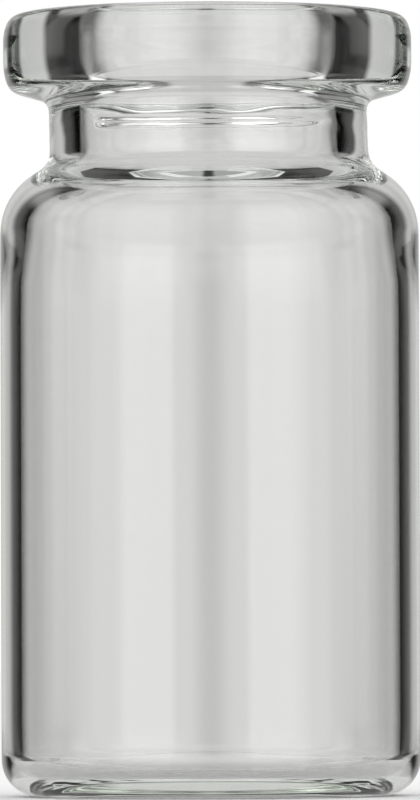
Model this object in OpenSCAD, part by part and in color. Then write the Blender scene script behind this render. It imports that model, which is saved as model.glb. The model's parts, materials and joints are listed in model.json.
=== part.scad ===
// Crimp-neck glass vial with a flat bottom, formed in one piece from drawn tube.
// The section of the glass is one closed outline to the right of the axis, turned round it.
// Millimetres, +Z up. The origin is on the axis, in the plane that the vial stands on.

/* [Body] */
// Height of the vial, from its standing ring to its sealing face
vial_h = 38.3; // [34:0.05:60]
// Outside diameter of the body
body_d = 20.5; // [19.5:0.05:22]
// Thickness of the body's wall
wall_t = 1; // [0.8:0.05:1.3]

/* [Base] */
// Thickness of the glass across the bottom
base_t = 0.8; // [0.7:0.05:2]
// Outside radius of the heel, where the body turns under
heel_r = 1.8; // [1.2:0.1:2.6]
// Inside radius where the wall meets the bottom
inner_heel_r = 1; // [0.6:0.1:2]
// Width of the flat ring that the vial stands on
foot_w = 0.8; // [0.6:0.1:2]
// Height of the push-up at the axis
pushup_h = 1; // [0.1:0.05:1.2]

/* [Shoulder] */
// Outside radius of the shoulder
shoulder_r = 3.3; // [3:0.1:4.2]
// Thickness of the glass round the shoulder, a little more than the wall's
shoulder_t = 1.2; // [1.05:0.05:1.4]
// Length of wall below the shoulder over which the glass thickens
thicken_l = 2.3; // [1:0.1:4]
// Radius of the hollow between the shoulder and the neck
hollow_r = 0.95; // [0.6:0.05:1.6]
// Inside radius where the shoulder runs up into the neck
inner_hollow_r = 1.95; // [1.2:0.05:2.4]

/* [Neck] */
// Outside diameter of the neck
neck_d = 15.6; // [15:0.05:16]
// Straight length of the neck, between its hollow and the crown's root
neck_l = 2.25; // [2:0.05:4]
// Radius of the root between the neck and the crown
root_r = 0.45; // [0.1:0.05:0.6]

/* [Crown] */
// Diameter of the crown that a crimp cap grips
crown_d = 20; // [19.6:0.05:20.2]
// Thickness of the crown at its rim
crown_h = 3.9; // [3.6:0.05:4.2]
// Radius of the crown's top edge
top_edge_r = 1.1; // [0.3:0.05:1.4]
// Radius of the round by which the lower side of the crown leans in
side_r = 3; // [2:0.1:6]
// Turn of that round, down to the lower edge, in degrees
side_lean = 20; // [5:1:30]
// Radius of the crown's lower edge
lower_edge_r = 0.7; // [0.2:0.05:1.2]
// Fall of the crown's underside from its edge to the neck, in degrees
underside_fall = 15; // [2:1:20]

/* [Bore] */
// Diameter of the bore that a stopper seals in
bore_d = 12.6; // [12.2:0.05:12.8]
// Radius of the lip round the mouth
lip_r = 0.5; // [0.3:0.05:1]

/* [Hidden] */

// Radii of the main surfaces
body_r = body_d / 2;
inner_r = body_r - wall_t;
neck_r = neck_d / 2;
crown_r = crown_d / 2;
bore_r = bore_d / 2;

// Base: the heel's two rounds, and the push-up's edges under and over the glass
heel_c = [body_r - heel_r, heel_r];
inner_heel_c = [inner_r - inner_heel_r, base_t + inner_heel_r];
pushup_edge = [heel_c.x - foot_w, 0];
floor_edge = [inner_heel_c.x, base_t];

// Crown: the centres of its edges and leaning side, its sloping underside and the root on the neck
top_edge_c = [crown_r - top_edge_r, vial_h - top_edge_r];
side_reach = side_r - lower_edge_r;
lower_edge_c = [crown_r - side_r + side_reach * cos(side_lean), vial_h - crown_h + lower_edge_r];
side_c = [crown_r - side_r, lower_edge_c.y + side_reach * sin(side_lean)];
underside_out = on_arc(lower_edge_c, lower_edge_r, underside_fall - 90);
root_c = [neck_r + root_r, underside_z(neck_r + root_r) - root_r / cos(underside_fall)];

// Shoulder outside: its round runs straight into the hollow at the foot of the neck
hollow_c = [neck_r + hollow_r, root_c.y - neck_l];
shoulder_c = [body_r - shoulder_r, hollow_c.y - rise(shoulder_r + hollow_r, hollow_c.x - body_r + shoulder_r)];
shoulder_turn = heading(shoulder_c, hollow_c);

// Shoulder inside: the glass is thickest round the shoulder, and thins to the wall below it
inner_shoulder_r = shoulder_r - shoulder_t;
inner_hollow_x = bore_r + inner_hollow_r;
inner_hollow_c = [
    inner_hollow_x,
    shoulder_c.y + rise(inner_shoulder_r + inner_hollow_r, inner_hollow_x - shoulder_c.x)
];
inner_turn = heading(shoulder_c, inner_hollow_c);
thin_wall_top = [inner_r, shoulder_c.y - thicken_l];

// Mouth: the centre of the lip's round
lip_c = [bore_r + lip_r, vial_h - lip_r];

// Rounds are drawn in steps of about this many degrees, with at least a few each
arc_step = 6;
least_steps = 6;
// Points closer together than this are one point
same_point = 0.001;

// A point on a circle, and the direction from one point to another
function on_arc(c, r, a) = c + r * [cos(a), sin(a)];
function heading(p, q) = atan2(q.y - p.y, q.x - p.x);
// Height of a right triangle, from its long side and its base
function rise(long, base) = sqrt(long * long - base * base);
// Height of the crown's underside at radius r
function underside_z(r) = underside_out.y - (underside_out.x - r) * tan(underside_fall);

// Points along a circle about c, from angle a to angle b
function arc(c, r, a, b) =
    let (steps = max(least_steps, ceil(abs(b - a) / arc_step)))
    [for (i = [0:steps]) on_arc(c, r, a + (b - a) * i / steps)];

// Points along a shallow dome that crowns the axis h above its edge
function dome(edge, h) =
    let (r = (edge.x * edge.x + h * h) / (2 * h), turn = asin(edge.x / r))
    arc([0, edge.y + h - r], r, 90, 90 - turn);

// The same points in the opposite order
function backwards(points) = [for (i = [len(points) - 1:-1:0]) points[i]];

// Outside of the glass, from under the push-up to the edge of the sealing face
function outside() = concat(
    dome(pushup_edge, pushup_h),
    arc(heel_c, heel_r, -90, 0),
    arc(shoulder_c, shoulder_r, 0, shoulder_turn),
    arc(hollow_c, hollow_r, 180 + shoulder_turn, 180),
    arc(root_c, root_r, 180, 90 + underside_fall),
    arc(lower_edge_c, lower_edge_r, underside_fall - 90, -side_lean),
    arc(side_c, side_r, -side_lean, 0),
    arc(top_edge_c, top_edge_r, 0, 90)
);

// Inside of the glass, from the mouth's lip down to the middle of the floor
function inside() = concat(
    arc(lip_c, lip_r, 90, 180),
    arc(inner_hollow_c, inner_hollow_r, 180, 180 + inner_turn),
    arc(shoulder_c, inner_shoulder_r, inner_turn, 0),
    [thin_wall_top],
    arc(inner_heel_c, inner_heel_r, 0, -90),
    backwards(dome(floor_edge, pushup_h))
);

// The outline with points that fall on the one before them left out
function clean(points) = [
    for (i = [0:len(points) - 1])
        if (i == 0 || norm(points[i] - points[max(i - 1, 0)]) > same_point) points[i]
];

// The vial: one wall of glass from the base to the crown
module glass_vial() {
    color([0.84, 0.88, 0.85, 0.45])
        rotate_extrude($fn = 180)
            polygon(clean(concat(outside(), inside())));
}

glass_vial();
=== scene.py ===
import json
import math

import bpy
from mathutils import Matrix, Vector


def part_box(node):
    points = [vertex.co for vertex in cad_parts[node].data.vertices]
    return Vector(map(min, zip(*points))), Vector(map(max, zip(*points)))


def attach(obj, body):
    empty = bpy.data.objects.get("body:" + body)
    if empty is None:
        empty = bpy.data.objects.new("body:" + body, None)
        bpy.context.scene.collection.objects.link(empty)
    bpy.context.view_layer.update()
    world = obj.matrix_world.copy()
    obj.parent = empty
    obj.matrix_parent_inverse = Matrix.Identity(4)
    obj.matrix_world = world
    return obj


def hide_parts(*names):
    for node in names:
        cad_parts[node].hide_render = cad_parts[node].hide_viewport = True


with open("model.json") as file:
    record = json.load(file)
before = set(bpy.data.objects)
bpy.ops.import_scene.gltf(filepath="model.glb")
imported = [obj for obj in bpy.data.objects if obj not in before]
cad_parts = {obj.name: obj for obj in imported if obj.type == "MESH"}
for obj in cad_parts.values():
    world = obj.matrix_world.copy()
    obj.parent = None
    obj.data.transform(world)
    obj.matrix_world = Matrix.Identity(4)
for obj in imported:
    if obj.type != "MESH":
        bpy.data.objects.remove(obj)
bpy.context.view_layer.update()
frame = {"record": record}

# ---- Camera ----
# A long lens stands near table height and looks up a little at the middle of
# the vial. It sees the crown's underside, and down on to the bottom's inside.
MM = 0.001
low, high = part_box("glass_vial")
vial_h = high.z - low.z
body_r = (high.x - low.x) / 2

camera_gap = 425 * MM
camera_h = 7 * MM
camera_roll = math.radians(-0.2)
aim_z = 19.35 * MM
view_h = 39.14 * MM
sensor = 36.0

camera_data = bpy.data.cameras.new("camera")
camera_data.sensor_width = sensor
camera_data.lens = sensor * camera_gap / view_h
camera_data.clip_start = 10 * MM
camera_data.clip_end = 20
camera = bpy.data.objects.new("camera", camera_data)
bpy.context.scene.collection.objects.link(camera)
camera_place = Vector((0, -camera_gap, camera_h))
aim = Vector((0, 0, aim_z))
facing = (aim - camera_place).to_track_quat("-Z", "Y").to_matrix().to_4x4()
camera.matrix_world = Matrix.Translation(camera_place) @ facing @ Matrix.Rotation(camera_roll, 4, "Z")
bpy.context.scene.camera = camera

# ---- The vial's outline ----
# One piece of clear tube glass. Its bottom is closed in a flame, and a roller
# and a plunger form the crown, the neck and the bore while the glass is soft.
# The outline runs from under the bottom, up the outside and down the inside.
mounts = {mount["name"]: mount["dims"] for mount in frame["record"]["mounts"]}
bore_r = mounts["mouth_bore"]["r_mm"] * MM
crown_r = mounts["crown_rim"]["r_mm"] * MM

wall = 0.99 * MM
base_t = 1.15 * MM
heel_r = 1.8 * MM
inner_heel_r = 1.0 * MM
foot_w = 1.4 * MM
pushup_h = 1.0 * MM
inner_pushup_h = 0.8 * MM
shoulder_r = 3.35 * MM
hollow_r = 0.95 * MM
hollow_z = 31.42 * MM
inner_hollow_r = 2.15 * MM
shoulder_t = 1.2 * MM
thicken_l = 2.3 * MM
neck_r = 7.79 * MM
root_r = 0.58 * MM
crown_h = 3.92 * MM
top_edge_r = 0.7 * MM
top_fall = 0.08 * MM
upper_side_r = 2.0 * MM
upper_lean = math.radians(25)
lower_edge_r = 0.7 * MM
side_r = 3.0 * MM
side_lean = math.radians(20.5)
underside_fall = math.radians(15.4)
lip_r = 0.85 * MM
ease_step = 0.05 * MM
ease_passes = 100
hard_share = 0.1
fine_step = 0.3 * MM
fold_z = 32.6 * MM
fold_w = 0.5 * MM
fold_step = 0.06 * MM
body_step = 1.6 * MM
arc_step = math.radians(5)
arc_least = 6
dome_steps = 20
top_steps = 10


def on_arc(centre, radius, angle):
    """The point of a circle at an angle."""
    return (centre[0] + radius * math.cos(angle), centre[1] + radius * math.sin(angle))


def arc(centre, radius, start, end):
    """The points of an arc, from one angle to the other."""
    steps = max(arc_least, math.ceil(abs(end - start) / arc_step))
    return [on_arc(centre, radius, start + (end - start) * i / steps) for i in range(steps + 1)]


def dome(edge_r, edge_z, rise):
    """A shallow dome from the axis out to its edge."""
    radius = (edge_r * edge_r + rise * rise) / (2 * rise)
    turn = math.asin(edge_r / radius)
    centre = (0, edge_z + rise - radius)
    return [on_arc(centre, radius, math.pi / 2 - turn * i / dome_steps) for i in range(dome_steps + 1)]


def heading(start, end):
    """The way from one point to the next, as an angle."""
    return math.atan2(end[1] - start[1], end[0] - start[0])


def rise_of(long_side, base):
    """The upright side of a right triangle."""
    return math.sqrt(long_side * long_side - base * base)


def divided(points, step):
    """The same line with its long stretches cut into steps."""
    result = [points[0]]
    for start, end in zip(points, points[1:]):
        steps = round(math.dist(start, end) / step)
        for i in range(1, steps + 1):
            part = i / steps
            result.append(tuple(a + (b - a) * part for a, b in zip(start, end)))
    result[-1] = points[-1]
    return result


def eased(points, share_at, passes):
    """The same line with its changes of curve run into each other."""
    for _ in range(passes):
        moved = [points[0]]
        for before, here, after in zip(points, points[1:], points[2:]):
            share = share_at(here[1]) / 4
            moved.append(tuple(b + (a - 2 * b + c) * share for a, b, c in zip(before, here, after)))
        points = moved + [points[-1]]
    return points


def thinned(points, turn_step, step_at):
    """The points where the line has turned or run on far enough."""
    result = [points[0]]
    run, turned = 0, 0
    for before, here, after in zip(points, points[1:], points[2:]):
        run += math.dist(before, here)
        bend = heading(here, after) - heading(before, here)
        turned += abs(math.remainder(bend, math.tau))
        if turned > turn_step or run > step_at(here[1]):
            result.append(here)
            run, turned = 0, 0
    return result + [points[-1]]


def vial_outline():
    """The glass's half section: up the outside, over the lip and down inside."""
    right = math.pi / 2
    inner_r = body_r - wall
    heel = (body_r - heel_r, heel_r)
    inner_heel = (inner_r - inner_heel_r, base_t + inner_heel_r)
    # The crown's side leans in by a wide arc before its lower edge
    edge_reach = side_r - lower_edge_r
    lower_edge = (crown_r - side_r + edge_reach * math.cos(side_lean), vial_h - crown_h + lower_edge_r)
    side = (crown_r - side_r, lower_edge[1] + edge_reach * math.sin(side_lean))
    under_out = on_arc(lower_edge, lower_edge_r, underside_fall - right)
    root_x = neck_r + root_r
    under_z = under_out[1] - (under_out[0] - root_x) * math.tan(underside_fall)
    root = (root_x, under_z - root_r / math.cos(underside_fall))
    hollow = (neck_r + hollow_r, hollow_z)
    reach = shoulder_r + hollow_r
    shoulder = (body_r - shoulder_r, hollow_z - rise_of(reach, hollow[0] - body_r + shoulder_r))
    turn = heading(shoulder, hollow)
    inner_shoulder_r = shoulder_r - shoulder_t
    inner_hollow_x = bore_r + inner_hollow_r
    inner_reach = inner_shoulder_r + inner_hollow_r
    inner_hollow = (inner_hollow_x, shoulder[1] + rise_of(inner_reach, inner_hollow_x - shoulder[0]))
    inner_turn = heading(shoulder, inner_hollow)
    lip = (bore_r + lip_r, vial_h - lip_r)
    # The top edge is eased the same way, and the top falls away to it from the lip
    top_reach = upper_side_r - top_edge_r
    upper_side_x = crown_r - upper_side_r
    top_edge = (upper_side_x + top_reach * math.cos(upper_lean), vial_h - top_fall - top_edge_r)
    upper_side = (upper_side_x, top_edge[1] - top_reach * math.sin(upper_lean))
    slope = math.atan2(2 * top_fall, top_edge[0] - lip[0])
    edge_end = on_arc(top_edge, top_edge_r, right - slope)
    top = []
    for i in range(1, top_steps):
        part = i / top_steps
        radius = edge_end[0] + (lip[0] - edge_end[0]) * part
        top.append((radius, vial_h - (vial_h - edge_end[1]) * (1 - part) ** 2))
    outside = (
        dome(heel[0] - foot_w, 0, pushup_h)
        + arc(heel, heel_r, -right, 0)
        + arc(shoulder, shoulder_r, 0, turn)
        + arc(hollow, hollow_r, math.pi + turn, math.pi)
        + arc(root, root_r, math.pi, right + underside_fall)
        + arc(lower_edge, lower_edge_r, underside_fall - right, -side_lean)
        + arc(side, side_r, -side_lean, 0)
        + arc(upper_side, upper_side_r, 0, upper_lean)
        + arc(top_edge, top_edge_r, upper_lean, right - slope)
        + top
    )
    inside = (
        arc(lip, lip_r, right, math.pi)
        + arc(inner_hollow, inner_hollow_r, math.pi, math.pi + inner_turn)
        + arc(shoulder, inner_shoulder_r, inner_turn, 0)
        + [(inner_r, shoulder[1] - thicken_l)]
        + arc(inner_heel, inner_heel_r, 0, -right)
        + dome(inner_heel[0], base_t, inner_pushup_h)[::-1]
    )
    # The neck's hollows flow into their neighbours, as soft glass does
    soft_low, soft_high = shoulder[1], root[1] - root_r

    def share_at(z):
        return 1 if soft_low < z < soft_high else hard_share

    def step_at(z):
        if abs(z - fold_z) < fold_w:
            return fold_step
        return fine_step if z > soft_low else body_step

    line = eased(divided(outside + inside, ease_step), share_at, ease_passes)
    return thinned(line, arc_step, step_at)


outline = vial_outline()
outline_mesh = bpy.data.meshes.new("vial_outline")
outline_mesh.from_pydata(
    [(radius, 0, z) for radius, z in outline],
    [(i, i + 1) for i in range(len(outline) - 1)],
    [],
)
vial_line = bpy.data.objects.new("vial_outline", outline_mesh)
bpy.context.scene.collection.objects.link(vial_line)

# ---- Glass ----
# Clear tube glass, fire polished, with a trace of green where it is thick.
# Forming leaves a faint ripple in its skin, and handling leaves a little haze.
glass_index = 1.52
glass_tint = (0.8, 0.95, 0.76, 1)
glass_density = 10
haze_low, haze_high = 0.0, 0.02
haze_scale, haze_detail = 220, 3
skin_scale = (120, 120, 420)
skin_height = 0.002 * MM
skin_strength = 0.5


def add_node(tree, kind, inputs=None, **settings):
    """A node with its settings, and with each input set to a value or a link."""
    made = tree.nodes.new(kind)
    for name, value in settings.items():
        setattr(made, name, value)
    for key, source in (inputs or {}).items():
        if isinstance(source, bpy.types.NodeSocket):
            tree.links.new(source, made.inputs[key])
        else:
            made.inputs[key].default_value = source
    return made


def new_material(name):
    """A material with nothing in its node tree yet."""
    material = bpy.data.materials.new(name)
    material.use_nodes = True
    material.node_tree.nodes.clear()
    return material, material.node_tree


glass, tree = new_material("clear_glass")
place = add_node(tree, "ShaderNodeTexCoord").outputs["Object"]
haze = add_node(tree, "ShaderNodeTexNoise", {"Vector": place, "Scale": haze_scale, "Detail": haze_detail})
haze_range = add_node(
    tree, "ShaderNodeMapRange", {"Value": haze.outputs["Fac"], "To Min": haze_low, "To Max": haze_high}
)
skin_place = add_node(tree, "ShaderNodeMapping", {"Vector": place, "Scale": skin_scale})
skin = add_node(tree, "ShaderNodeTexNoise", {"Vector": skin_place.outputs[0], "Scale": 1, "Detail": 1})
skin_bump = add_node(
    tree,
    "ShaderNodeBump",
    {"Height": skin.outputs["Fac"], "Strength": skin_strength, "Distance": skin_height},
)
body = add_node(
    tree,
    "ShaderNodeBsdfPrincipled",
    {
        "Base Color": (1, 1, 1, 1),
        "Roughness": haze_range.outputs["Result"],
        "IOR": glass_index,
        "Transmission Weight": 1,
        "Normal": skin_bump.outputs["Normal"],
    },
)
tint = add_node(tree, "ShaderNodeVolumeAbsorption", {"Color": glass_tint, "Density": glass_density})
add_node(tree, "ShaderNodeOutputMaterial", {"Surface": body.outputs[0], "Volume": tint.outputs[0]})

# ---- Turning the outline into the vial ----
# The tube is turned in a lathe as it is worked, so every surface runs round
# the axis. The worked end keeps a slight ripple and one fold inside the neck.
steps_round = 400
ripple_depth = 0.06 * MM
ripple_seed = 3
ripple_scale = (260, 260, 800)
ripple_calm = 0.12
ripple_rise = (30.6 * MM, 31.8 * MM)
ripple_fall = (34.4 * MM, 33.6 * MM)
fold_depth = 0.28 * MM
fold_bend = 6
fold_left = (-5.0 * MM, -4.7 * MM)
fold_right = (5.6 * MM, 2.0 * MM)
fold_back = -1 * MM
crown_shift = -0.08 * MM
shift_rise = (31 * MM, 34.5 * MM)
weld_gap = 0.0005 * MM

lathe = bpy.data.node_groups.new("glass_lathe", "GeometryNodeTree")
lathe.interface.new_socket("Geometry", in_out="OUTPUT", socket_type="NodeSocketGeometry")
lathe_inputs = []
for name, kind, value in (
    ("Outline", "NodeSocketGeometry", None),
    ("Steps Round", "NodeSocketInt", steps_round),
    ("Ripple Depth", "NodeSocketFloat", ripple_depth),
    ("Ripple Seed", "NodeSocketFloat", ripple_seed),
    ("Fold Depth", "NodeSocketFloat", fold_depth),
    ("Crown Shift", "NodeSocketFloat", crown_shift),
    ("Glass", "NodeSocketMaterial", glass),
):
    socket = lathe.interface.new_socket(name, in_out="INPUT", socket_type=kind)
    lathe_inputs.append((socket, value))
given = add_node(lathe, "NodeGroupInput").outputs

# A flat grid has one column for each step round and one row for each point
counted = add_node(lathe, "GeometryNodeAttributeDomainSize", {"Geometry": given["Outline"]})
rows = counted.outputs["Point Count"]
columns = add_node(lathe, "FunctionNodeIntegerMath", {0: given["Steps Round"], 1: 1}, operation="ADD")
grid = add_node(lathe, "GeometryNodeMeshGrid", {"Vertices X": columns.outputs[0], "Vertices Y": rows})
number = add_node(lathe, "GeometryNodeInputIndex").outputs[0]
column = add_node(lathe, "FunctionNodeIntegerMath", {0: number, 1: rows}, operation="DIVIDE_FLOOR")
row = add_node(lathe, "FunctionNodeIntegerMath", {0: number, 1: rows}, operation="MODULO")

# Each point takes its place in the outline and is turned round the axis
line_place = add_node(lathe, "GeometryNodeInputPosition").outputs[0]
sample = add_node(
    lathe,
    "GeometryNodeSampleIndex",
    {"Geometry": given["Outline"], "Value": line_place, "Index": row.outputs[0]},
    data_type="FLOAT_VECTOR",
)
share = add_node(lathe, "ShaderNodeMath", {0: column.outputs[0], 1: given["Steps Round"]}, operation="DIVIDE")
angle = add_node(lathe, "ShaderNodeMath", {0: share.outputs[0], 1: math.tau}, operation="MULTIPLY")
turned = add_node(
    lathe,
    "ShaderNodeVectorRotate",
    {"Vector": sample.outputs[0], "Angle": angle.outputs[0]},
    rotation_type="Z_AXIS",
)
wrapped = add_node(
    lathe, "GeometryNodeSetPosition", {"Geometry": grid.outputs["Mesh"], "Position": turned.outputs[0]}
)
closed = add_node(
    lathe, "GeometryNodeMergeByDistance", {"Geometry": wrapped.outputs[0], "Distance": weld_gap}
)

# The crown sits a hair off centre, and the ripple is deepest in the neck
spot = add_node(lathe, "GeometryNodeInputPosition").outputs[0]
axes = add_node(lathe, "ShaderNodeSeparateXYZ", {0: spot}).outputs


def math_node(operation, first, second=0.0, third=0.0):
    """The result of one sum on every point."""
    values = {0: first, 1: second, 2: third}
    return add_node(lathe, "ShaderNodeMath", values, operation=operation).outputs[0]


def eased_range(value, start, end):
    """Nought up to the start, one from the end on, and smooth between."""
    limits = {"Value": value, "From Min": start, "From Max": end}
    made = add_node(lathe, "ShaderNodeMapRange", limits, interpolation_type="SMOOTHSTEP")
    return made.outputs["Result"]


worked = eased_range(axes["Z"], *shift_rise)
above_shoulder = eased_range(axes["Z"], *ripple_rise)
below_crown = eased_range(axes["Z"], *ripple_fall)
in_neck = math_node("MULTIPLY", above_shoulder, below_crown)
stretched = add_node(lathe, "ShaderNodeVectorMath", {0: spot, 1: ripple_scale}, operation="MULTIPLY")
ripple = add_node(
    lathe,
    "ShaderNodeTexNoise",
    {"Vector": stretched.outputs[0], "W": given["Ripple Seed"], "Scale": 1, "Detail": 1},
    noise_dimensions="4D",
)
swing = math_node("SUBTRACT", ripple.outputs["Fac"], 0.5)
depth = math_node("MULTIPLY", swing, given["Ripple Depth"])
strength = math_node("MAXIMUM", in_neck, math_node("MULTIPLY", worked, ripple_calm))
rippled_by = math_node("MULTIPLY", depth, strength)

# The plunger leaves one fold inside the neck, at the front
across = axes["X"]
fold_line = math_node("MULTIPLY_ADD", math_node("MULTIPLY", across, across), fold_bend, fold_z)
off_line = math_node("ABSOLUTE", math_node("SUBTRACT", axes["Z"], fold_line))
fold = eased_range(off_line, fold_w / 2, 0)
reach = math_node("MULTIPLY", eased_range(across, *fold_left), eased_range(across, *fold_right))
front = eased_range(axes["Y"], 0, fold_back)
level_spot = add_node(lathe, "ShaderNodeVectorMath", {0: spot, 1: (1, 1, 0)}, operation="MULTIPLY")
from_axis = add_node(lathe, "ShaderNodeVectorMath", {0: level_spot.outputs[0]}, operation="LENGTH")
inner = math_node("LESS_THAN", from_axis.outputs["Value"], (bore_r + neck_r) / 2)
fold_share = math_node("MULTIPLY", math_node("MULTIPLY", fold, reach), math_node("MULTIPLY", front, inner))
folded_by = math_node("MULTIPLY", fold_share, given["Fold Depth"])

outward = add_node(lathe, "GeometryNodeInputNormal").outputs[0]
pushed_by = math_node("ADD", rippled_by, folded_by)
push = add_node(lathe, "ShaderNodeVectorMath", {0: outward, "Scale": pushed_by}, operation="SCALE")
aside = math_node("MULTIPLY", worked, given["Crown Shift"])
shift = add_node(lathe, "ShaderNodeCombineXYZ", {"X": aside})
moved = add_node(lathe, "ShaderNodeVectorMath", {0: push.outputs[0], 1: shift.outputs[0]}, operation="ADD")
rippled = add_node(
    lathe, "GeometryNodeSetPosition", {"Geometry": closed.outputs[0], "Offset": moved.outputs[0]}
)
smooth = add_node(lathe, "GeometryNodeSetShadeSmooth", {"Geometry": rippled.outputs[0]})
real = add_node(lathe, "GeometryNodeRealizeInstances", {"Geometry": smooth.outputs[0]})
dressed = add_node(
    lathe, "GeometryNodeSetMaterial", {"Geometry": real.outputs[0], "Material": given["Glass"]}
)
add_node(lathe, "NodeGroupOutput", {"Geometry": dressed.outputs[0]})

modifier = vial_line.modifiers.new("lathe", "NODES")
modifier.node_group = lathe
for socket, value in lathe_inputs:
    if value is not None:
        modifier[socket.identifier] = value
depsgraph = bpy.context.evaluated_depsgraph_get()
vial_mesh = bpy.data.meshes.new_from_object(vial_line.evaluated_get(depsgraph), depsgraph=depsgraph)
vial_mesh.name = "vial_glass"
bpy.data.objects.remove(vial_line)
vial = bpy.data.objects.new("vial_glass", vial_mesh)
bpy.context.scene.collection.objects.link(vial)
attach(vial, "root")
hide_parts("glass_vial")

# ---- Floor ----
# A plain white board. The glass doesn't show it, apart from the round under
# the vial, and shows the light tent instead, which closes below the board too.
board_white = (0.95, 0.95, 0.95, 1)
floor_half = 3.0
floor_drop = 0.02 * MM
floor_mesh = bpy.data.meshes.new("floor")
corners = [(x * floor_half, y * floor_half) for x, y in ((-1, -1), (1, -1), (1, 1), (-1, 1))]
floor_mesh.from_pydata([(x, y, -floor_drop) for x, y in corners], [], [(0, 1, 2, 3)])
floor = bpy.data.objects.new("floor", floor_mesh)
bpy.context.scene.collection.objects.link(floor)
white, tree = new_material("white_board")
paint = add_node(tree, "ShaderNodeBsdfDiffuse", {"Color": board_white})
add_node(tree, "ShaderNodeOutputMaterial", {"Surface": paint.outputs[0]})
floor_mesh.materials.append(white)
floor.visible_glossy = False
floor.visible_transmission = False

# The round under the vial carries painted light: an emitted glow, brightest a little behind the middle and
# weaker toward the foot ring, stands in for the light the glass gathers on the board, most of it from behind.
# It lies just over the board, and only the glass sees it.
round_r = 11 * MM
round_steps = 64
round_drop = 0.015 * MM
pool_centre = (0, 4 * MM, 0)
pool_r, pool_end = 7 * MM, 12 * MM
pool_glow, pool_least = 0.45, 0.2
shade_r, shade_end = 8.6 * MM, 10 * MM
round_mesh = bpy.data.meshes.new("floor_round")
round_turns = [math.tau * i / round_steps for i in range(round_steps)]
round_mesh.from_pydata(
    [(*on_arc((0, 0), round_r, turn), -round_drop) for turn in round_turns], [], [range(round_steps)]
)
floor_round = bpy.data.objects.new("floor_round", round_mesh)
bpy.context.scene.collection.objects.link(floor_round)
painted_light_board, tree = new_material("painted_light_board")
place = add_node(tree, "ShaderNodeTexCoord").outputs["Object"]
from_middle = add_node(tree, "ShaderNodeVectorMath", {0: place}, operation="LENGTH")
from_pool = add_node(tree, "ShaderNodeVectorMath", {0: place, 1: pool_centre}, operation="DISTANCE")
# Painted pool of light, strongest round a spot a little behind the middle and fading outward
pool = add_node(
    tree,
    "ShaderNodeMapRange",
    {
        "Value": from_pool.outputs["Value"],
        "From Min": pool_r,
        "From Max": pool_end,
        "To Min": pool_glow,
        "To Max": pool_least,
    },
    interpolation_type="SMOOTHSTEP",
)
# The painted glow ends just past the vial's foot, so it lies only under the vial
painted_glow_reach = add_node(
    tree,
    "ShaderNodeMapRange",
    {"Value": from_middle.outputs["Value"], "From Min": shade_end, "From Max": shade_r},
    interpolation_type="SMOOTHSTEP",
)
painted_glow_strength = add_node(
    tree,
    "ShaderNodeMath",
    {0: pool.outputs["Result"], 1: painted_glow_reach.outputs["Result"]},
    operation="MULTIPLY",
)
# The painted light is emission added over the white board
painted_light_shader = add_node(tree, "ShaderNodeEmission", {"Strength": painted_glow_strength.outputs[0]})
paint = add_node(tree, "ShaderNodeBsdfDiffuse", {"Color": board_white})
both = add_node(tree, "ShaderNodeAddShader", {0: paint.outputs[0], 1: painted_light_shader.outputs[0]})
add_node(tree, "ShaderNodeOutputMaterial", {"Surface": both.outputs[0]})
round_mesh.materials.append(painted_light_board)
floor_round.visible_camera = False
floor_round.visible_diffuse = False
floor_round.visible_shadow = False

# ---- Light tent ----
# A white tent far round the vial, lit in soft patches and dark between them.
# It is fixed to the camera, as a studio's is while the piece is turned on its
# table. Azimuth is 0 behind the vial, 90 on its right, and 180 at the camera.
tent_r = 20.0
tent_step = 1
tent_tone = (1, 1, 0.985, 1)
# Each patch: azimuth from, to and soft edge, elevation the same, brightness
PATCHES = (
    ("screen", -26, 25, 12, -36, 30, 10, 0.6),
    ("screen_top", -26, 25, 12, 30, 110, 10, 0.48),
    ("screen_tail", -42, 42, 16, -36, 70, 12, 0.03),
    ("table", -200, 200, 1, -110, -34, 10, 0.52),
    ("side_left", -92, -76, 6, 0, 110, 10, 1.1),
    ("side_right", 76, 92, 6, 0, 110, 10, 1.0),
    ("sky_left", -76, -30, 10, 22, 34, 8, 0.25),
    ("sky_right", 30, 76, 10, 22, 34, 8, 0.25),
    ("front_left", -174, -98, 12, -30, 44, 12, 0.9),
    ("front_right", 98, 170, 12, -30, 44, 12, 0.7),
    ("strip_left", -158, -126, 3, -30, 44, 12, 0.5),
    ("strip_right", 124, 158, 3, -30, 44, 12, 0.72),
    ("top_left", -172, -98, 8, 44, 110, 10, 0.42),
    ("top_right", 98, 172, 8, 44, 110, 10, 0.35),
    ("key_left", -165, -108, 8, 6, 34, 12, 0.6),
    ("key_right", 110, 164, 8, 6, 34, 12, 0.8),
    ("low_left", -200, -170, 8, -34, -12, 8, 0.4),
    ("low_right", 170, 200, 8, -34, -12, 8, 0.5),
    ("high_left", -200, -170, 8, 10, 44, 8, 0.5),
    ("high_right", 170, 200, 8, 10, 44, 8, 0.7),
    ("board_left", -98, -42, 8, -34, -14, 8, 0.4),
    ("board_right", 42, 98, 8, -34, -14, 8, 0.4),
)


def inside_band(value, start, end, edge):
    """One inside the band and nought outside it, with a soft edge."""
    gap = min(value - start, end - value)
    part = min(max(gap / edge + 0.5, 0), 1)
    return part * part * (3 - 2 * part)


def tent_glow(azimuth, elevation):
    """How bright the tent is that way, with all its patches together."""
    total = 0
    for _, az_from, az_to, az_edge, el_from, el_to, el_edge, glow in PATCHES:
        across = inside_band(azimuth, az_from, az_to, az_edge)
        total += glow * across * inside_band(elevation, el_from, el_to, el_edge)
    return total


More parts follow.
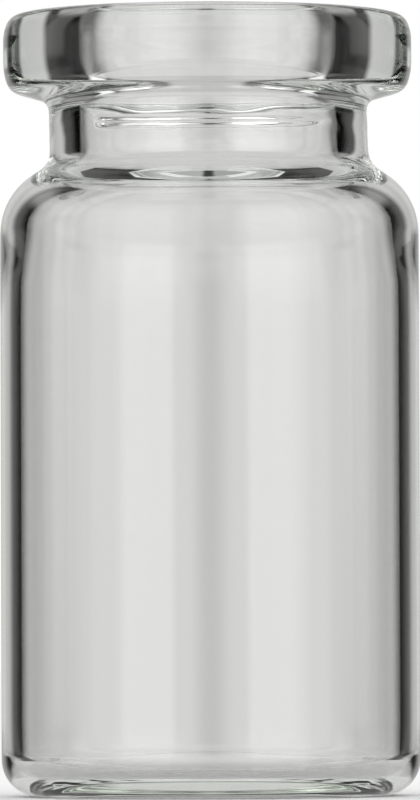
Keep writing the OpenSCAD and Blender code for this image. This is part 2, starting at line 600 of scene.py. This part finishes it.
azimuths = range(-180, 181, tent_step)
elevations = range(-90, 91, 2 * tent_step)
points, glows = [], []
for azimuth in azimuths:
    for elevation in elevations:
        az, el = math.radians(azimuth), math.radians(elevation)
        way = Vector((math.sin(az) * math.cos(el), math.cos(az) * math.cos(el), math.sin(el)))
        points.append(aim + way * tent_r)
        glows.append(tent_glow(azimuth, elevation))
column_points = len(elevations)
faces = []
for i in range(len(azimuths) - 1):
    for j in range(column_points - 1):
        corner = i * column_points + j
        faces.append((corner, corner + 1, corner + column_points + 1, corner + column_points))
tent_mesh = bpy.data.meshes.new("light_tent")
tent_mesh.from_pydata(points, [], faces)
tent_mesh.attributes.new("glow", "FLOAT", "POINT").data.foreach_set("value", glows)
tent = bpy.data.objects.new("light_tent", tent_mesh)
bpy.context.scene.collection.objects.link(tent)
cloth, tree = new_material("tent_light")
glow = add_node(tree, "ShaderNodeAttribute", attribute_name="glow")
lamp = add_node(tree, "ShaderNodeEmission", {"Color": tent_tone, "Strength": glow.outputs["Fac"]})
add_node(tree, "ShaderNodeOutputMaterial", {"Surface": lamp.outputs[0]})
cloth.cycles.emission_sampling = "NONE"
tent_mesh.materials.append(cloth)
tent.visible_camera = False
tent.visible_diffuse = False
tent.visible_shadow = False
bpy.context.view_layer.update()
tent.parent = camera
tent.matrix_parent_inverse = camera.matrix_world.inverted()

# ---- Room light and view ----
# The camera and the floor see a plain white room, and the glass the tent in its
# place. Light turns back many times inside the glass before it leaves.
world = bpy.data.worlds.new("white_room")
world.use_nodes = True
world.cycles.sampling_method = "NONE"
tree = world.node_tree
tree.nodes.clear()
path = add_node(tree, "ShaderNodeLightPath").outputs
direct = add_node(
    tree, "ShaderNodeMath", {0: path["Is Camera Ray"], 1: path["Is Diffuse Ray"]}, operation="MAXIMUM"
)
sky = add_node(tree, "ShaderNodeBackground", {"Color": (1, 1, 1, 1), "Strength": direct.outputs[0]})
add_node(tree, "ShaderNodeOutputWorld", {"Surface": sky.outputs[0]})
bounces = 24
glossy_bounces = 16
scene = bpy.context.scene
scene.world = world
scene.view_settings.view_transform = "Standard"
scene.cycles.max_bounces = bounces
scene.cycles.transmission_bounces = bounces
scene.cycles.glossy_bounces = glossy_bounces
scene.cycles.sample_clamp_indirect = 0

bpy.context.view_layer.update()
